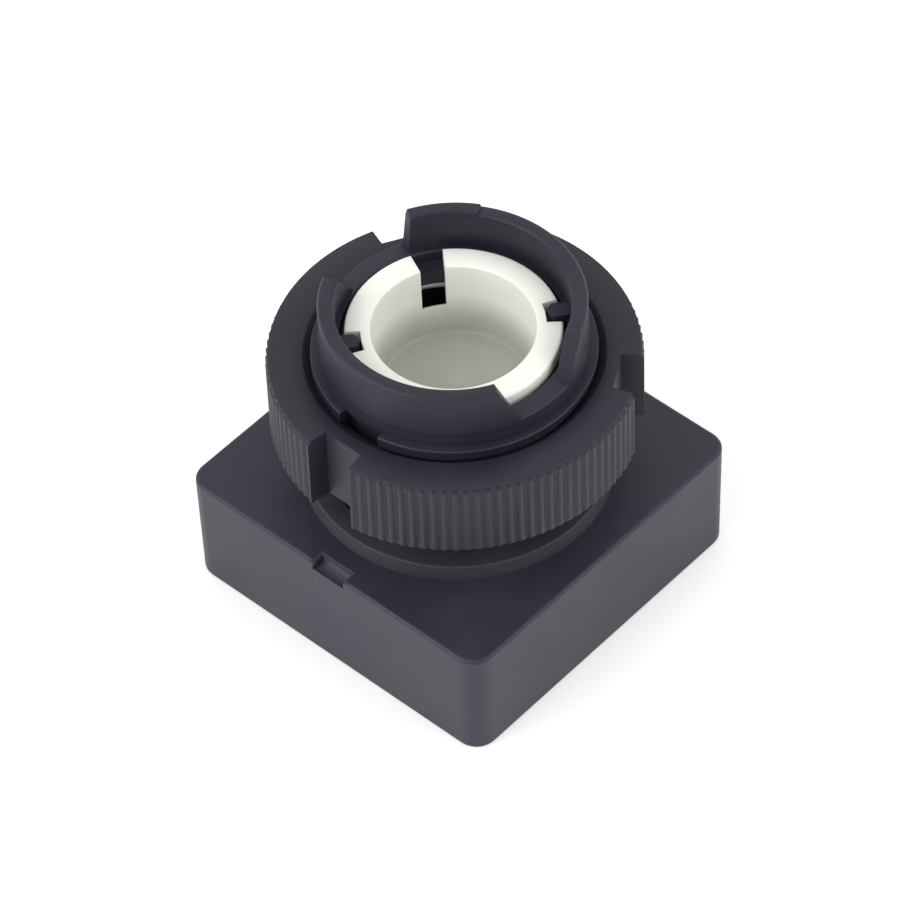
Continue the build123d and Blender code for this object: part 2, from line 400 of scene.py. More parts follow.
def add_bump(tree, shader, height, strength, distance):
    bump = add(tree, "ShaderNodeBump")
    bump.inputs["Strength"].default_value = strength
    bump.inputs["Distance"].default_value = distance * MM
    tree.links.new(height, bump.inputs["Height"])
    tree.links.new(bump.outputs["Normal"], shader.inputs["Normal"])


# Materials

def black_moulding(name, dark, light, rub, grain, dust, roughness, shine):
    """Matt black moulding: slow tone change, grain, a little dust and, where wanted, rubbed edges."""
    material, tree, shader = new_material(name)
    cloud = place_group(tree, CLOUD, Size=6.0)
    specks = place_group(tree, DUST, Amount=dust, Speck_size=0.3)
    texture = place_group(tree, MOULD_GRAIN, Grain_size=grain, Depth=1.0)
    body = mix_colour(tree, cloud.outputs["Value"], dark, light)
    rough = spread(tree, cloud.outputs["Value"], 0.0, 1.0, roughness - 0.04, roughness + 0.05)
    if rub:
        edge = place_group(tree, EDGE_RUB, Amount=rub, Breakup=0.9)
        body = mix_colour(tree, edge.outputs["Mask"], body, (0.13, 0.127, 0.14, 1.0))
        rough = math_node(tree, "SUBTRACT", rough, math_node(tree, "MULTIPLY", edge.outputs["Mask"], 0.12))
    dusty = mix_colour(tree, specks.outputs["Mask"], body, (0.25, 0.245, 0.25, 1.0))
    tree.links.new(dusty, shader.inputs["Base Color"])
    tree.links.new(rough, shader.inputs["Roughness"])
    shader.inputs["Specular IOR Level"].default_value = shine
    add_bump(tree, shader, texture.outputs["Height"], 0.5, 0.02)
    return material


def seal_rubber():
    """Matt black rubber with a little dust."""
    material, tree, shader = new_material("Seal rubber")
    cloud = place_group(tree, CLOUD, Size=4.0)
    specks = place_group(tree, DUST, Amount=0.2, Speck_size=0.3)
    texture = place_group(tree, MOULD_GRAIN, Grain_size=0.25, Depth=1.0)
    body = mix_colour(tree, cloud.outputs["Value"], (0.032, 0.032, 0.042, 1.0), (0.042, 0.041, 0.052, 1.0))
    dusty = mix_colour(tree, specks.outputs["Mask"], body, (0.2, 0.2, 0.2, 1.0))
    tree.links.new(dusty, shader.inputs["Base Color"])
    tree.links.new(spread(tree, cloud.outputs["Value"], 0.0, 1.0, 0.6, 0.75), shader.inputs["Roughness"])
    shader.inputs["Specular IOR Level"].default_value = 0.5
    add_bump(tree, shader, texture.outputs["Height"], 0.3, 0.015)
    return material


def white_moulding():
    """Translucent off-white plastic with painted shade that makes it greyer deep in the cup, and a touch
    yellow at its rubbed edges.
    """
    material, tree, shader = new_material("White moulding")
    cloud = place_group(tree, CLOUD, Size=3.5)
    tone = place_group(tree, PAINTED_SHADE_BY_DEPTH, Low=RIM_TOP - 6.5, High=RIM_TOP - 3.0)
    edge = place_group(tree, EDGE_RUB, Amount=0.5, Breakup=0.6)
    specks = place_group(tree, DUST, Amount=0.12, Speck_size=0.4)
    texture = place_group(tree, MOULD_GRAIN, Grain_size=0.3, Depth=1.0)
    # Painted shade: a greyer colour deep in the cup, where shade falls, mixed in by height below the rim
    deep = mix_colour(tree, cloud.outputs["Value"], (0.40, 0.412, 0.36, 1.0), (0.445, 0.457, 0.405, 1.0))
    body = mix_colour(tree, tone.outputs["Value"], deep, (0.92, 0.92, 0.85, 1.0))
    warm = mix_colour(tree, edge.outputs["Mask"], body, (0.9, 0.88, 0.78, 1.0))
    dusty = mix_colour(tree, specks.outputs["Mask"], warm, (0.5, 0.49, 0.45, 1.0))
    tree.links.new(dusty, shader.inputs["Base Color"])
    tree.links.new(spread(tree, cloud.outputs["Value"], 0.0, 1.0, 0.36, 0.48), shader.inputs["Roughness"])
    shader.inputs["Subsurface Weight"].default_value = 0.3
    shader.inputs["Subsurface Radius"].default_value = (1.0, 0.9, 0.7)
    shader.inputs["Subsurface Scale"].default_value = 1.0 * MM
    add_bump(tree, shader, texture.outputs["Height"], 0.12, 0.01)
    return material


def lens_plastic():
    """Translucent lens with a soft shine and paler edges."""
    material, tree, shader = new_material("Lens plastic")
    cloud = place_group(tree, CLOUD, Size=9.0)
    edge = place_group(tree, EDGE_RUB, Amount=0.4, Breakup=0.5)
    texture = place_group(tree, MOULD_GRAIN, Grain_size=0.6, Depth=0.6)
    body = mix_colour(tree, cloud.outputs["Value"], (0.8, 0.81, 0.77, 1.0), (0.84, 0.845, 0.815, 1.0))
    paler = mix_colour(tree, edge.outputs["Mask"], body, (0.9, 0.9, 0.86, 1.0))
    tree.links.new(paler, shader.inputs["Base Color"])
    tree.links.new(spread(tree, cloud.outputs["Value"], 0.0, 1.0, 0.2, 0.3), shader.inputs["Roughness"])
    shader.inputs["Subsurface Weight"].default_value = 0.4
    shader.inputs["Subsurface Radius"].default_value = (1.0, 0.95, 0.85)
    shader.inputs["Subsurface Scale"].default_value = 1.4 * MM
    shader.inputs["Coat Weight"].default_value = 0.2
    add_bump(tree, shader, texture.outputs["Height"], 0.05, 0.01)
    return material


def legend_film():
    """Bare pale film."""
    material, tree, shader = new_material("Legend film")
    cloud = place_group(tree, CLOUD, Size=5.0)
    body = mix_colour(tree, cloud.outputs["Value"], (0.84, 0.84, 0.81, 1.0), (0.88, 0.88, 0.86, 1.0))
    tree.links.new(body, shader.inputs["Base Color"])
    tree.links.new(spread(tree, cloud.outputs["Value"], 0.0, 1.0, 0.35, 0.45), shader.inputs["Roughness"])
    return material


def spring_steel():
    """Drawn spring wire with a fine grain and slow changes of tone."""
    material, tree, shader = new_material("Spring steel")
    cloud = place_group(tree, CLOUD, Size=1.5)
    texture = place_group(tree, MOULD_GRAIN, Grain_size=0.1, Depth=1.0)
    body = mix_colour(tree, cloud.outputs["Value"], (0.38, 0.375, 0.37, 1.0), (0.52, 0.52, 0.52, 1.0))
    tree.links.new(body, shader.inputs["Base Color"])
    tree.links.new(spread(tree, cloud.outputs["Value"], 0.0, 1.0, 0.25, 0.42), shader.inputs["Roughness"])
    shader.inputs["Metallic"].default_value = 1.0
    add_bump(tree, shader, texture.outputs["Height"], 0.15, 0.01)
    return material


FRAME_BLACK = black_moulding("Frame black", (0.023, 0.0205, 0.036, 1.0), (0.029, 0.0265, 0.043, 1.0),
                             rub=0.3, grain=0.17, dust=0.1, roughness=0.5, shine=0.42)
# Painted shade: the neck and collar, of the same moulding as the frame, get a darker, less shiny copy of its
# black
NECK_PAINTED_SHADE_BLACK = black_moulding("Neck black with painted shade", (0.0175, 0.0157, 0.028, 1.0), (0.023, 0.021, 0.0345, 1.0),
                            rub=0.0, grain=0.17, dust=0.08, roughness=0.52, shine=0.36)
NUT_BLACK = black_moulding("Nut black", (0.0155, 0.0138, 0.0245, 1.0), (0.0205, 0.0187, 0.0305, 1.0),
                           rub=0.0, grain=0.17, dust=0.12, roughness=0.5, shine=0.38)
INNER_BLACK = black_moulding("Inner black", (0.024, 0.022, 0.03, 1.0), (0.028, 0.026, 0.034, 1.0),
                             rub=0.0, grain=0.12, dust=0.04, roughness=0.52, shine=0.42)
RUBBER = seal_rubber()
WHITE = white_moulding()
LENS = lens_plastic()
FILM = legend_film()
STEEL = spring_steel()


# Mesh helpers

def make_piece(name, points, faces, body, slot, material, stands_for=(), bevel=0.0,
               smooth_angle=SMOOTH_ANGLE):
    """A mesh piece from millimetre points, cleaned, smoothed and riding on its body."""
    mesh = bpy.data.meshes.new(name)
    work = bmesh.new()
    corners = [work.verts.new(Vector(p) * MM) for p in points]
    for face in faces:
        work.faces.new([corners[i] for i in face])
    bmesh.ops.remove_doubles(work, verts=work.verts, dist=MERGE_DISTANCE * MM)
    bmesh.ops.dissolve_degenerate(work, edges=work.edges, dist=SHORTEST_EDGE * MM)
    bmesh.ops.recalc_face_normals(work, faces=work.faces)
    work.to_mesh(mesh)
    work.free()
    piece = bpy.data.objects.new(name, mesh)
    bpy.context.scene.collection.objects.link(piece)
    if bevel:
        round_edges(piece, bevel)
    finish_surface(piece, smooth_angle)
    piece.data.materials.clear()
    piece.data.materials.append(material)
    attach(piece, body)
    if stands_for:
        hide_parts(*stands_for)
    return piece


def housing_piece(name, points, faces, material, **settings):
    """A piece of the black housing, which is all one body."""
    return make_piece(name, points, faces, "housing", "black_plastic", material, **settings)


def apply_modifiers(piece):
    """Turns the piece's modifiers into its mesh."""
    bpy.context.view_layer.update()
    graph = bpy.context.evaluated_depsgraph_get()
    made = bpy.data.meshes.new_from_object(piece.evaluated_get(graph))
    piece.modifiers.clear()
    piece.data = made


def round_edges(piece, width):
    """Small rounded edges wherever two faces meet at more than the rounding angle."""
    bevel = piece.modifiers.new("Edges", "BEVEL")
    bevel.width = width * MM
    bevel.segments = 2
    bevel.limit_method = "ANGLE"
    bevel.angle_limit = math.radians(ROUNDING_ANGLE)
    bevel.use_clamp_overlap = True
    apply_modifiers(piece)


def finish_surface(piece, angle):
    """Smooth shading with sharp corners, in which large flat faces stay flat up to their rounded edges."""
    piece.data.shade_smooth()
    piece.data.set_sharp_from_angle(angle=math.radians(angle))
    weighted = piece.modifiers.new("Normals", "WEIGHTED_NORMAL")
    weighted.mode = "FACE_AREA"
    weighted.weight = 60
    weighted.keep_sharp = True
    apply_modifiers(piece)


def skin(loops, closed_profile=False):
    """Faces that join each loop of as many points to the next, with caps where the profile is open."""
    size = len(loops[0])
    points = [p for loop in loops for p in loop]
    faces = []
    rows = len(loops) if closed_profile else len(loops) - 1
    for row in range(rows):
        near = row * size
        far = ((row + 1) % len(loops)) * size
        for i in range(size):
            j = (i + 1) % size
            faces.append((near + i, near + j, far + j, far + i))
    if not closed_profile:
        faces.append(tuple(range(size)))
        faces.append(tuple(range(len(points) - size, len(points))))
    return points, faces


def polar(radius, angle, z):
    return (radius * math.cos(angle), radius * math.sin(angle), z)


def ring_loops(profile, angles=None, count=192):
    """One circle of points for each (radius, height) of the profile."""
    if angles is None:
        angles = [2 * math.pi * i / count for i in range(count)]
    return [[polar(r, a, z) for a in angles] for r, z in profile]


def arc(centre_r, centre_z, radius, start, stop, steps=5):
    """Profile points on a quarter round, with angles in degrees in the radius-height plane."""
    made = []
    for i in range(steps + 1):
        a = math.radians(start + (stop - start) * i / steps)
        made.append((centre_r + radius * math.cos(a), centre_z + radius * math.sin(a)))
    return made


def corner_signs(angle):
    """The quarter in which an angle lies, as the signs of its two coordinates."""
    return (1 if math.cos(angle) > 0 else -1), (1 if math.sin(angle) > 0 else -1)


def rounded_square(side, corner, z, arc_steps=8, side_steps=12):
    """Points round a square with rounded corners, always in the same order and number."""
    reach = side / 2 - corner

    def corner_point(middle, a):
        along, across = corner_signs(middle)
        return (reach * along + corner * math.cos(a), reach * across + corner * math.sin(a), z)

    points = []
    for quarter in range(4):
        middle = math.radians(45 + 90 * quarter)
        for i in range(arc_steps + 1):
            points.append(corner_point(middle, middle + math.radians(-45 + 90 * i / arc_steps)))
        start = points[-1]
        end = corner_point(middle + math.pi / 2, middle + math.pi / 4)
        for i in range(1, side_steps):
            share = i / side_steps
            points.append((start[0] + (end[0] - start[0]) * share,
                           start[1] + (end[1] - start[1]) * share, z))
    return points


def circle_like(loop, radius, z):
    """A circle with one point under each point of a rounded square."""
    return [polar(radius, math.atan2(p[1], p[0]), z) for p in loop]


# Housing: frame, threaded neck and bayonet collar

def frame_side_at(z):
    """Side of the square at a height: the frame is drafted towards its front."""
    return FRAME_SIDE - FRAME_DRAFT * (1 - z / FRAME_HEIGHT)


def build_frame():
    """Square frame with rounded edges, its recess for the button and the slot for a pry tool."""
    loops = []
    rear = rounded_square(FRAME_SIDE - 2 * FRAME_EDGE, FRAME_CORNER - FRAME_EDGE, FRAME_HEIGHT)
    loops.append(circle_like(rear, THREAD_ROOT - 3 * SINK, FRAME_HEIGHT))
    rear_edge = arc(-FRAME_EDGE, FRAME_HEIGHT - FRAME_EDGE, FRAME_EDGE, 90, 0)
    front_edge = arc(-FRAME_EDGE, FRAME_EDGE, FRAME_EDGE, 0, -90)
    for inset, lift in rear_edge + front_edge:
        loops.append(rounded_square(frame_side_at(lift) + 2 * inset, FRAME_CORNER + inset, lift))
    mouth = OPENING_SIDE + 2 * OPENING_EDGE
    loops.append(rounded_square(mouth, OPENING_CORNER + OPENING_EDGE, 0))
    loops.append(rounded_square(OPENING_SIDE, OPENING_CORNER, OPENING_EDGE))
    floor = rounded_square(OPENING_SIDE, OPENING_CORNER, OPENING_FLOOR)
    loops.append(floor)
    washer_top = high_z("seal_washer")
    seal_top = high_z("stem_seal")
    for radius, z in ((WASHER_SEAT, OPENING_FLOOR), (WASHER_SEAT, washer_top), (FLOOR_HOLE, washer_top),
                      (FLOOR_HOLE, seal_top), (NECK_BORE, seal_top)):
        loops.append(circle_like(floor, radius, z))
    points, faces = skin(loops, closed_profile=True)
    piece = housing_piece("frame_moulding", points, faces, FRAME_BLACK, stands_for=("housing",))
    cut_pry_slot(piece)
    finish_surface(piece, SMOOTH_ANGLE)


def cut_pry_slot(piece):
    """Cuts the slot out of the frame's edge, and flares the cut by a small chamfer at the rear face."""
    mesh = bpy.data.meshes.new("cutter")
    work = bmesh.new()
    middle = Vector((-FRAME_SIDE / 2, PRY_OFFSET, FRAME_HEIGHT))
    rings = [(-PRY_HEIGHT, 0.0), (-PRY_EDGE, 0.0), (PRY_EDGE, 2 * PRY_EDGE), (PRY_HEIGHT, 2 * PRY_EDGE)]
    corners = []
    for z, grow in rings:
        for x, y in ((-1, -1), (1, -1), (1, 1), (-1, 1)):
            corner = Vector((x * (PRY_DEPTH + grow), y * (PRY_WIDTH / 2 + grow), z))
            corners.append(work.verts.new((middle + corner) * MM))
    for ring in range(len(rings) - 1):
        for i in range(4):
            j = (i + 1) % 4
            work.faces.new([corners[4 * ring + i], corners[4 * ring + j], corners[4 * ring + 4 + j],
                            corners[4 * ring + 4 + i]])
    work.faces.new(corners[3::-1])
    work.faces.new(corners[-4:])
    bmesh.ops.recalc_face_normals(work, faces=work.faces)
    work.to_mesh(mesh)
    work.free()
    cutter = bpy.data.objects.new("cutter", mesh)
    bpy.context.scene.collection.objects.link(cutter)
    cut = piece.modifiers.new("Cut", "BOOLEAN")
    cut.operation = "DIFFERENCE"
    cut.solver = "EXACT"
    cut.object = cutter
    apply_modifiers(piece)
    bpy.data.objects.remove(cutter)


def neck_angles(count=240):
    """Angles round the neck, with two close together at each side of the keyway."""
    edge = math.asin(KEYWAY_HALF / THREAD_CREST)
    step = 0.0008
    angles = [2 * math.pi * i / count for i in range(count)]
    angles = [a for a in angles if min(abs(a - math.pi + edge), abs(a - math.pi - edge)) > 4 * step]
    for side in (-1, 1):
        angles += [math.pi + side * edge - step, math.pi + side * edge + step]
    return sorted(angles), edge


def neck_radius(radius, angle, edge):
    """The neck's radius at an angle, cut down to the flat bed within the keyway."""
    if abs(angle - math.pi) < edge:
        return min(radius, KEYWAY_BED / math.cos(angle - math.pi))
    return radius


def thread_point(pitches, ridge_radius, angle, edge):
    """A point that climbs by one pitch a turn. The step between two turns lies on the keyway's flat bed."""
    climb = (angle / (2 * math.pi) - 0.5) % 1.0
    z = THREAD_START + THREAD_PITCH * (pitches + climb)
    radius = ridge_radius
    if z < THREAD_START:
        radius = THREAD_ROOT
    if z > THREAD_END:
        radius = THREAD_CREST
    z = min(max(z, THREAD_START), THREAD_END)
    return polar(neck_radius(radius, angle, edge), angle, z)


def build_neck():
    """Neck with its right-handed thread, a plain land at the rear end and the keyway along it."""
    angles, edge = neck_angles()
    foot = FRAME_HEIGHT - SINK
    flank_end = THREAD_FLANK + THREAD_TIP
    ridge = ((0.0, THREAD_ROOT), (THREAD_FLANK, THREAD_CREST), (flank_end, THREAD_CREST),
             (flank_end + THREAD_FLANK, THREAD_ROOT))
    turns = math.ceil((THREAD_END - THREAD_START) / THREAD_PITCH) + 2
    loops = [[polar(NECK_BORE, a, foot) for a in angles],
             [polar(neck_radius(THREAD_ROOT, a, edge), a, foot) for a in angles]]
    for turn in range(-1, turns):
        for share, radius in ridge:
            loops.append([thread_point(turn + share, radius, a, edge) for a in angles])
    for radius, z in ((THREAD_CREST, THREAD_END), (THREAD_CREST, NECK_TOP - END_CHAMFER),
                      (THREAD_CREST - END_CHAMFER, NECK_TOP)):
        loops.append([polar(neck_radius(radius, a, edge), a, z) for a in angles])
    loops += ring_loops([(RING_INNER, NECK_TOP), (RING_INNER, LEDGE_TOP), (LEDGE_BORE, LEDGE_TOP),
                         (LEDGE_BORE, LEDGE_BOTTOM), (NECK_BORE, LEDGE_BOTTOM)], angles)
    points, faces = skin(loops, closed_profile=True)
    housing_piece("neck_moulding", points, faces, NECK_PAINTED_SHADE_BLACK, smooth_angle=25.0)


def wall_profile(bottom, top, inner, outer, edge, draft):
    """Closed section of the collar's wall with a rounded rim, as (radius, height)."""
    tip = outer - draft
    section = [(inner, bottom), (outer, bottom), (outer, max(bottom, GAP_FLOOR - 0.02))]
    section += arc(tip - edge, top - edge, edge, 0, 90)
    section += arc(inner + edge, top - edge, edge, 90, 180)
    return section


def build_wall(name, start, stop, bottom, top, inner, outer, edge, draft=0.0, steps=90):
    """A stretch of collar whose ends may slope: start and stop are the angles at the gap's floor and rim."""
    section = wall_profile(bottom, top, inner, outer, edge, draft)
    loops = []
    for i in range(steps + 1):
        loop = []
        for r, z in section:
            rise = min(max((z - GAP_FLOOR) / (COLLAR_TOP - GAP_FLOOR), 0.0), 1.0)
            a0 = start[0] + (start[1] - start[0]) * rise
            a1 = stop[0] + (stop[1] - stop[0]) * rise
            loop.append(polar(r, math.radians(a0 + (a1 - a0) * i / steps), z))
        loops.append(loop)
    points, faces = skin(loops)
    housing_piece(name, points, faces, NECK_PAINTED_SHADE_BLACK, bevel=COLLAR_BEVEL, smooth_angle=35.0)


def build_collar():
    """Bayonet collar: a low full ring, two walls between the entries, a raised land and two guide ribs."""
    base = [(RING_INNER, NECK_TOP - 2 * SINK), (COLLAR_OUTER, NECK_TOP - 2 * SINK)]
    base += arc(COLLAR_OUTER - RING_EDGE, GAP_FLOOR - RING_EDGE, RING_EDGE, 0, 90, 3)
    base += [(RING_INNER + 0.1, GAP_FLOOR), (RING_INNER, GAP_FLOOR - 0.1)]
    points, faces = skin(ring_loops(base), closed_profile=True)
    housing_piece("collar_ring", points, faces, NECK_PAINTED_SHADE_BLACK)
    for name, (start, stop) in (("collar_wall_a", WALL_A), ("collar_wall_b", WALL_B)):
        build_wall(name, start, stop, GAP_FLOOR - 6 * SINK, COLLAR_TOP, COLLAR_INNER,
                   COLLAR_OUTER + WALL_HAIR, COLLAR_EDGE, draft=COLLAR_DRAFT)
    build_wall("collar_land", LAND_SPAN[:1] * 2, LAND_SPAN[1:] * 2, COLLAR_TOP - LAND_FOOT, LAND_TOP,
               COLLAR_INNER + LAND_INNER_HAIR, COLLAR_OUTER - COLLAR_DRAFT - LAND_OUTER_HAIR, COLLAR_EDGE,
               steps=24)
    for i, angle in enumerate(RIB_ANGLES):
        build_rib(f"guide_rib_{i + 1}", math.radians(angle))


def build_rib(name, angle):
    """Guide rib with a tapered nose, inside the collar."""
    root = COLLAR_INNER + 3 * SINK
    outline = [(root, -RIB_HALF), (RIB_TIP + RIB_TAPER, -RIB_HALF), (RIB_TIP, -0.5 * RIB_HALF),
               (RIB_TIP, 0.5 * RIB_HALF), (RIB_TIP + RIB_TAPER, RIB_HALF), (root, RIB_HALF)]
    c, s = math.cos(angle), math.sin(angle)
    loops = []
    for z in (LEDGE_TOP - 2 * SINK, RIM_TOP + RIB_ABOVE_CUP):
        loops.append([(c * u - s * v, s * u + c * v, z) for u, v in outline])
    points, faces = skin(loops)
    housing_piece(name, points, faces, NECK_PAINTED_SHADE_BLACK, bevel=RIB_BEVEL)


# Knurled ring nut

def notch_radius(away):
    """The nut's radius at an angle from a spanner notch's middle: steep walls and a flat bed."""
    bed_start, bed_stop = NOTCH_BED_SPAN
    mouth_start, mouth_stop = NOTCH_MOUTH_SPAN
    if away <= mouth_start or away >= mouth_stop:
        return NUT_CREST
    bed = NOTCH_BED / math.cos(math.radians(away))
    if away < bed_start:
        return NUT_CREST - (NUT_CREST - bed) * (away - mouth_start) / (bed_start - mouth_start)
    if away > bed_stop:
        return bed + (NUT_CREST - bed) * (away - bed_stop) / (mouth_stop - bed_stop)
    return bed


def turned(angle, start):
    """Degrees from one angle to another, the short way round."""
    return (angle - start + 180.0) % 360.0 - 180.0


def nut_outline(samples=8):
    """Round the nut: angle, knurled radius and plain radius, always at growing angles."""
    count = NUT_TEETH * samples
    clear = 0.15
    spans = NOTCH_BED_SPAN + NOTCH_MOUTH_SPAN
    corners = [(notch + away) % 360.0 for notch in NOTCH_ANGLES for away in spans]
    angles = [a for a in (360.0 * i / count for i in range(count))
              if min(abs(turned(a, c)) for c in corners) > clear]
    made = []
    for angle in sorted(angles + corners):
        away = min((turned(angle, notch) for notch in NOTCH_ANGLES), key=abs)
        plain = notch_radius(away)
        wave = 0.5 - 0.5 * math.cos(math.radians(angle * NUT_TEETH))
        ridge = NUT_CREST - NUT_TOOTH * (1.0 - min(1.0, NUT_TOOTH_SHAPE * wave))
        made.append((math.radians(angle), min(plain, ridge), plain))
    return made


def build_nut():
    """Ring nut with knurled rim, a fine groove under its rear lip, notches and a flared rear mouth."""
    outline = nut_outline()
    angles = [a for a, ridge, plain in outline]
    knurled = ((NUT_BOTTOM, NUT_CREST - NUT_RIM_EDGE), (NUT_BOTTOM + NUT_RIM_EDGE, NUT_CREST),
               (NUT_TOP - KNURL_END, NUT_CREST))
    loops = ring_loops([(NUT_BORE, NUT_BOTTOM + NUT_BORE_EDGE), (NUT_BORE + NUT_BORE_EDGE, NUT_BOTTOM)],
                       angles)
    for z, limit in knurled:
        loops.append([polar(min(ridge, limit), a, z) for a, ridge, plain in outline])
    for down, inward in NUT_LIP:
        limit = NUT_CREST - inward
        loops.append([polar(min(plain, limit), a, NUT_TOP - down) for a, ridge, plain in outline])
    loops += ring_loops([(NUT_MOUTH + NUT_MOUTH_EDGE[0], NUT_TOP),
                         (NUT_MOUTH, NUT_TOP - NUT_MOUTH_EDGE[1]),
                         (NUT_BORE, NUT_TOP - (NUT_MOUTH - NUT_BORE))], angles)
    points, faces = skin(loops, closed_profile=True)
    make_piece("knurled_nut", points, faces, "ring_nut", "nut_plastic", NUT_BLACK,
               stands_for=("ring_nut",), smooth_angle=40.0)


def build_gasket():
    """Flat rubber ring with slightly drafted, softened edges."""
    low_radius = half_width("panel_gasket")
    high_radius = low_radius - GASKET_DRAFT
    bore = THREAD_ROOT + GASKET_CLEARANCE
    top = high_z("panel_gasket")
    shoulder = top - GASKET_EDGE
    profile = [(bore, FRAME_HEIGHT), (low_radius, FRAME_HEIGHT), (high_radius + 0.03, shoulder)]
    profile += arc(high_radius - GASKET_EDGE, shoulder, GASKET_EDGE, 0, 90)
    profile += [(bore, top)]
    points, faces = skin(ring_loops(profile), closed_profile=True)
    make_piece("gasket_ring", points, faces, "housing", "seal_rubber", RUBBER,
               stands_for=("panel_gasket",))


# White plunger cup

def cup_columns(count=216):
    """Angles round the cup, with what each one cuts: nothing, a rib notch or the side slot."""
    cuts = [(math.radians(a), math.radians(RIM_NOTCH_HALF), "notch") for a in RIB_ANGLES]
    cuts.append((math.radians(SLOT_ANGLE), math.radians(SLOT_HALF), "slot"))
    step = 0.0006
    columns = []
    for i in range(count):
        angle = 2 * math.pi * i / count
        kind = "plain"
        near_edge = False
        for middle, half, name in cuts:
            away = abs((angle - middle + math.pi) % (2 * math.pi) - math.pi)
            if away < half:
                kind = name
            if abs(away - half) < 4 * step:
                near_edge = True
        if not near_edge:
            columns.append((angle, kind))
    for middle, half, name in cuts:
        for side in (-1, 1):
            edge = middle + side * half
            columns.append(((edge - side * step) % (2 * math.pi), name))
            columns.append(((edge + side * step) % (2 * math.pi), "plain"))
    return sorted(columns)


def cup_section(kind):
    """Outline of the cup's wall and rim at one angle, from the tube's mouth to the floor's middle."""
    rim_outer = RIM_RADIUS if kind == "plain" else CUP_OUTER + 0.05
    rim = [(CUP_OUTER, RIM_BOTTOM), (rim_outer, RIM_BOTTOM)]
    if kind == "plain":
        rim += arc(rim_outer - RIM_EDGE, RIM_TOP - RIM_EDGE, RIM_EDGE, 0, 90, 4)
    else:
        rim += [(rim_outer, RIM_TOP)] * 5
    rim += arc(CUP_MOUTH + RIM_INNER_EDGE, RIM_TOP - RIM_INNER_EDGE, RIM_INNER_EDGE, 90, 180, 3)
    if kind == "slot":
        inner = CUP_MOUTH - 0.12
        slope = (SLOT_INNER_FOOT - SLOT_OUTER_FOOT) / (CUP_OUTER - inner)
        reach = [CUP_OUTER if i < 2 else max(min(r, CUP_OUTER), inner) for i, (r, z) in enumerate(rim)]
        rim = [(r, SLOT_INNER_FOOT - slope * (r - inner)) for r in reach]
    floor_z = RIM_TOP - CUP_DEPTH
    section = [(TUBE_INNER, floor_z - CUP_FLOOR), (TUBE_INNER, low_z("plunger_cup")),
               (CUP_OUTER, low_z("plunger_cup"))]
    section += rim
    section += [(CUP_FLOOR_RADIUS + CUP_TURN[0], floor_z + CUP_TURN[1])]
    section += arc(CUP_FLOOR_RADIUS - CUP_FLOOR_EDGE, floor_z + CUP_FLOOR_EDGE, CUP_FLOOR_EDGE, 0, -90, 5)
    return section


def build_cup():
    """White cup with its flat rim, two rib notches, side slot and the tube in front of its floor."""
    columns = cup_columns()
    sections = [cup_section(kind) for angle, kind in columns]
    loops = []
    for row in zip(*sections):
        loops.append([polar(radius, angle, z) for (angle, kind), (radius, z) in zip(columns, row)])
    points, faces = skin(loops)
    make_piece("plunger_body", points, faces, "button", "white_plastic", WHITE,
               stands_for=("plunger_cup",), smooth_angle=38.0)


# Return spring

def build_spring(steps_per_turn=48, around=12):
    """Wire coil with a closed turn at its front end."""
    count = int(SPRING_TURNS * steps_per_turn)
    rise = SPRING_TOP - SPRING_BOTTOM - WIRE
    free = SPRING_TURNS - 1
    loops = []
    for i in range(count + 1):
        turn = SPRING_TURNS * i / count
        share = min(max((turn - 1) / free, 0.0), 1.0)
        z = SPRING_BOTTOM + WIRE / 2 + min(turn, 1.0) * WIRE + share * (rise - WIRE)
        angle = math.radians(SPRING_START) + 2 * math.pi * turn
        loop = []
        for k in range(around):
            b = 2 * math.pi * k / around
            loop.append(polar(SPRING_RADIUS + WIRE / 2 * math.cos(b), angle, z + WIRE / 2 * math.sin(b)))
        loops.append(loop)
    points, faces = skin(loops)
    piece = make_piece("coil_spring", points, faces, "housing", "spring_steel", STEEL,
                       stands_for=("return_spring",), smooth_angle=60.0)
    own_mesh(piece)


# Button face

def build_lens():
    """Square lens cap with softened edges, open to the rear."""
    inner = LENS_SIDE - 2 * LENS_WALL
    loops = []
    for inset, lift in arc(-LENS_EDGE, LENS_FRONT + LENS_EDGE, LENS_EDGE, -90, 0):
        corner = max(LENS_CORNER + inset, LENS_LEAST_CORNER)
        loops.append(rounded_square(LENS_SIDE + 2 * inset, corner, lift))
    loops.append(rounded_square(LENS_SIDE, LENS_CORNER, LENS_REAR))
    loops.append(rounded_square(inner, LENS_CORNER, LENS_REAR))
    loops.append(rounded_square(inner, LENS_CORNER, LENS_INSIDE))
    points, faces = skin(loops)
    make_piece("lens_face", points, faces, "button", "lens_plastic", LENS, stands_for=("lens_cap",))


def dress_inner_nodes():
    """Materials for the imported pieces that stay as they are."""
    dressed = {"stem_seal": RUBBER, "seal_washer": INNER_BLACK, "button_carrier": INNER_BLACK,
               "diffuser": WHITE, "legend_plate": FILM}
    for node, material in dressed.items():
        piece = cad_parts[node]
        piece.data.materials.clear()
        piece.data.materials.append(material)


# Floor, light and camera

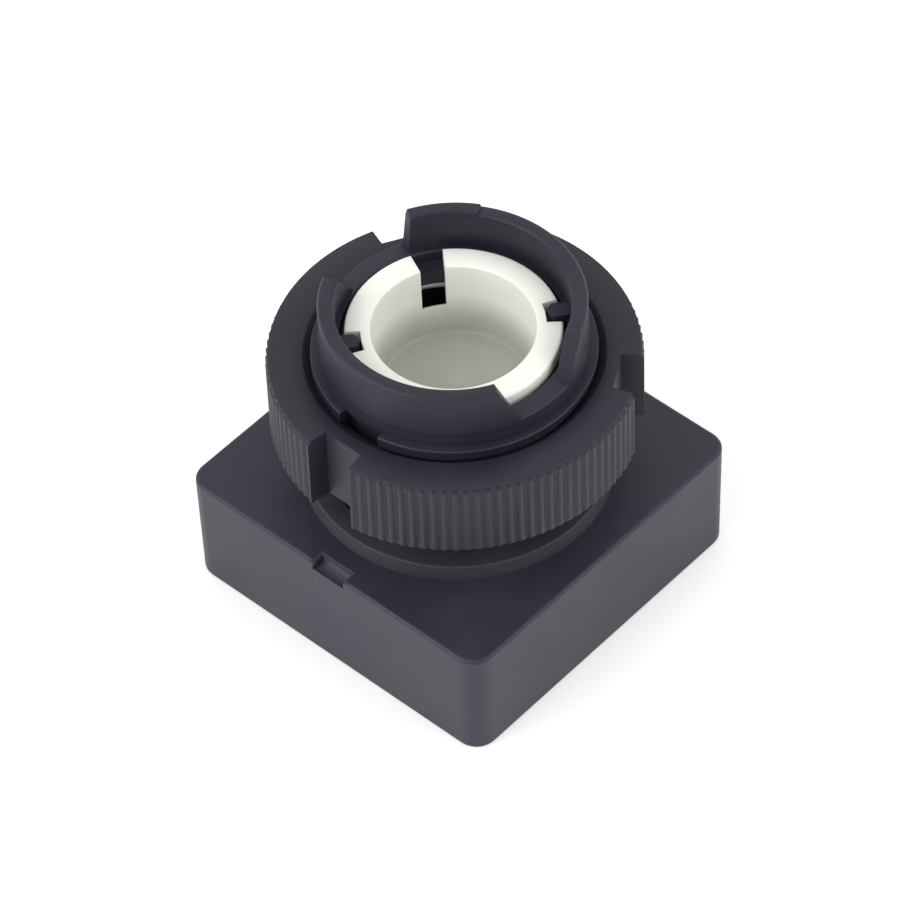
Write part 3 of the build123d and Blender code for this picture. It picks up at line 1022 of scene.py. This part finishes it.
def build_floor():
    """A large white floor: pure white to the camera where it is lit, and it keeps the object's shadow."""
    mesh = bpy.data.meshes.new("floor")
    reach = FLOOR_REACH * MM
    corners = [(-reach, -reach, 0), (reach, -reach, 0), (reach, reach, 0), (-reach, reach, 0)]
    mesh.from_pydata(corners, [], [(0, 1, 2, 3)])
    floor = bpy.data.objects.new("floor", mesh)
    bpy.context.scene.collection.objects.link(floor)
    material, tree, shader = new_material("Floor")
    shader.inputs["Base Color"].default_value = (0.86, 0.86, 0.86, 1.0)
    shader.inputs["Roughness"].default_value = 0.9
    shader.inputs["Specular IOR Level"].default_value = 0.0
    glow = add(tree, "ShaderNodeEmission")
    glow.inputs["Color"].default_value = (1.0, 1.0, 1.0, 1.0)
    light = add(tree, "ShaderNodeLightPath")
    seen = math_node(tree, "MAXIMUM", light.outputs["Is Camera Ray"], light.outputs["Is Transmission Ray"])
    seen = math_node(tree, "MULTIPLY", seen, FLOOR_GLOW[0])
    mirrored = math_node(tree, "MULTIPLY", light.outputs["Is Glossy Ray"], FLOOR_GLOW[1])
    tree.links.new(math_node(tree, "MAXIMUM", seen, mirrored), glow.inputs["Strength"])
    total = add(tree, "ShaderNodeAddShader")
    tree.links.new(shader.outputs[0], total.inputs[0])
    tree.links.new(glow.outputs[0], total.inputs[1])
    tree.links.new(total.outputs[0], tree.nodes["Material Output"].inputs["Surface"])
    mesh.materials.append(material)


def build_world():
    """White surroundings, brighter on one side, and seen as pure white by the camera."""
    world = bpy.data.worlds.new("Studio")
    bpy.context.scene.world = world
    world.use_nodes = True
    tree = world.node_tree
    background = tree.nodes["Background"]
    place = add(tree, "ShaderNodeTexCoord")
    skies = []
    for side, levels in ((SKY_BRIGHT_SIDE, SKY_LEVELS), (SKY_BRIGHT_MIRRORED, SKY_MIRRORED)):
        toward = add(tree, "ShaderNodeVectorMath", operation="DOT_PRODUCT")
        toward.inputs[1].default_value = Vector(side).normalized()
        tree.links.new(place.outputs["Generated"], toward.inputs[0])
        skies.append(spread(tree, toward.outputs["Value"], -0.6, 0.8, *levels))
    plain, mirrored = skies
    light = add(tree, "ShaderNodeLightPath")
    glossy = mix_value(tree, light.outputs["Is Glossy Ray"], plain, mirrored)
    seen = math_node(tree, "MAXIMUM", light.outputs["Is Camera Ray"], light.outputs["Is Transmission Ray"])
    background.inputs["Color"].default_value = (1.0, 1.0, 1.0, 1.0)
    tree.links.new(mix_value(tree, seen, glossy, 1.0), background.inputs["Strength"])


def soft_lamp(name, place, power):
    """A square soft light that looks at the object."""
    lamp = bpy.data.lights.new(name, "AREA")
    lamp.shape = "SQUARE"
    lamp.size = LAMP_SIDE * MM
    lamp.energy = power
    holder = bpy.data.objects.new(name, lamp)
    bpy.context.scene.collection.objects.link(holder)
    holder.location = Vector(place) * MM
    holder.rotation_mode = "QUATERNION"
    holder.rotation_quaternion = (Vector(place) - Vector(LAMP_AIM)).to_track_quat("Z", "Y")


def build_lights():
    """Two large soft lamps, one on each side of the camera, so that the sides are lighter than the front."""
    for name, (place, power) in LAMPS.items():
        soft_lamp(name, place, power)


def build_camera():
    """The camera of the photograph: azimuth 0 looks along +Y, and the roll turns it about its own axis."""
    azimuth = math.radians(CAMERA_AZIMUTH)
    elevation = math.radians(CAMERA_ELEVATION)
    roll = math.radians(CAMERA_ROLL)
    back = Vector((math.sin(azimuth) * math.cos(elevation), -math.cos(azimuth) * math.cos(elevation),
                   math.sin(elevation)))
    right = Vector((math.cos(azimuth), math.sin(azimuth), 0.0))
    up = back.cross(right)
    across = right * math.cos(roll) + up * math.sin(roll)
    upward = up * math.cos(roll) - right * math.sin(roll)
    data = bpy.data.cameras.new("camera")
    data.lens = CAMERA_LENS
    data.sensor_width = 36.0
    data.clip_start = 0.01
    data.clip_end = 10.0
    camera = bpy.data.objects.new("camera", data)
    bpy.context.scene.collection.objects.link(camera)
    turn = Matrix((across, upward, back)).transposed().to_4x4()
    place = (Vector(CAMERA_TARGET) + back * CAMERA_DISTANCE) * MM
    camera.matrix_world = Matrix.Translation(place) @ turn
    bpy.context.scene.camera = camera


build_camera()
build_world()
build_lights()
build_floor()
build_frame()
build_neck()
build_collar()
build_gasket()
build_nut()
build_cup()
build_spring()
build_lens()
dress_inner_nodes()
bpy.context.scene.view_settings.view_transform = "Standard"
